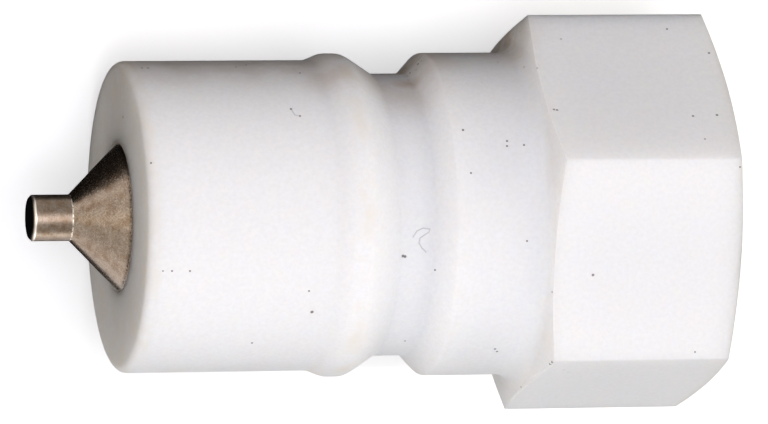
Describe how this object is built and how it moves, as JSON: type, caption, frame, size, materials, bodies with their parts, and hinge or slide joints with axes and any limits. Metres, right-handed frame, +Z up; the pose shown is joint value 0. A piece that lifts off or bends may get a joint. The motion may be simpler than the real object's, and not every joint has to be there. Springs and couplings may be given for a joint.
{
  "type": "quick coupling nipple",
  "caption": "Moulded hexagonal plug half of a quick-release pipe coupling, with a spring-loaded metal poppet valve in its nose and a female pipe thread in its hexagon.",
  "frame": {"origin": "centre of the hexagon's end face, on the axis of the nipple, where the pipe screws in", "axes": "+X along the axis out of the threaded port, with the nose towards -X; +Z up, the nipple lying on one flat of its hexagon, which faces -Z"},
  "size_m": [0.0518, 0.0312, 0.027],
  "materials": {
    "white_plastic": "moulded, slightly translucent",
    "natural_plastic": "moulded",
    "turned_steel": "turned, fine rings",
    "spring_steel": "drawn wire and strip",
    "black_rubber": "matt"
  },
  "bodies": {
    "housing": {"nipple_body": "white_plastic", "valve_guide": "natural_plastic", "retaining_ring": "spring_steel", "valve_spring": "spring_steel"},
    "poppet": {"valve_poppet": "turned_steel", "valve_seal": "black_rubber"}
  },
  "joints": [
    {"name": "poppet_slide", "type": "slide", "parent": "housing", "child": "poppet", "axis": [1, 0, 0], "range_m": [0, 0.005], "stiffness_N_per_m": 1640, "springref_m": -0.004, "deforming": ["valve_spring"]}
  ]
}
